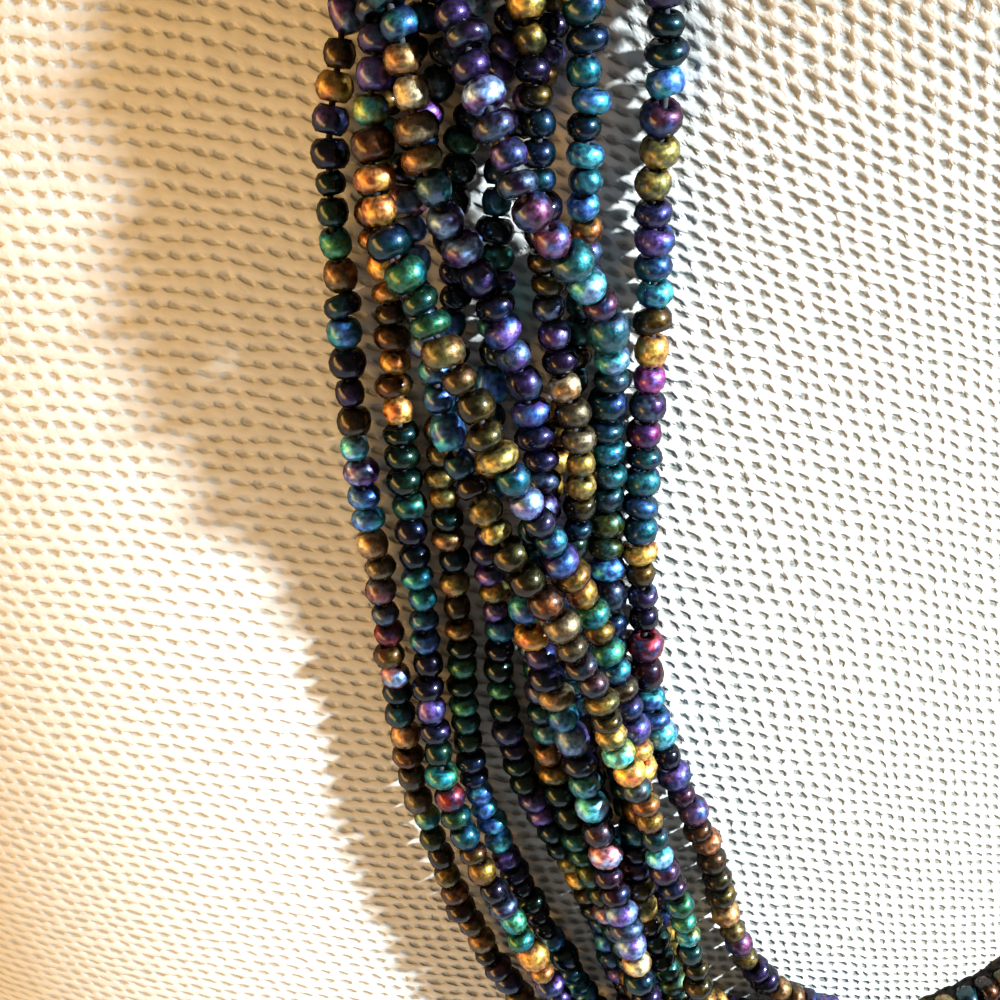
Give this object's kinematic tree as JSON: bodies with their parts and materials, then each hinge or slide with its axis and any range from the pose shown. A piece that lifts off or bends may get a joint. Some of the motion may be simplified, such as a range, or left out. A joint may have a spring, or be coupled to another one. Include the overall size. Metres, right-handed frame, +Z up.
{
  "type": "multi strand necklace on a neck bust",
  "caption": "Loosely twisted necklace of seed bead strings with a bar clasp, lying on a linen-covered neck bust.",
  "frame": {"origin": "on the base of the bust, under the middle of the neck", "axes": "+X towards the right of a viewer who faces the front, +Y towards the back of the neck, +Z up"},
  "size_m": [0.2326, 0.1627, 0.25],
  "materials": {
    "linen": "coarse plain weave",
    "beads": "opaque, metallic iridescent",
    "clasp_metal": "satin"
  },
  "bodies": {
    "root": {"bust": "linen", "clasp": "clasp_metal", "strand_1": "beads", "strand_2": "beads", "strand_3": "beads", "strand_4": "beads", "strand_5": "beads", "strand_6": "beads", "strand_7": "beads", "strand_8": "beads", "strand_9": "beads", "strand_10": "beads", "strand_11": "beads"}
  },
  "joints": []
}
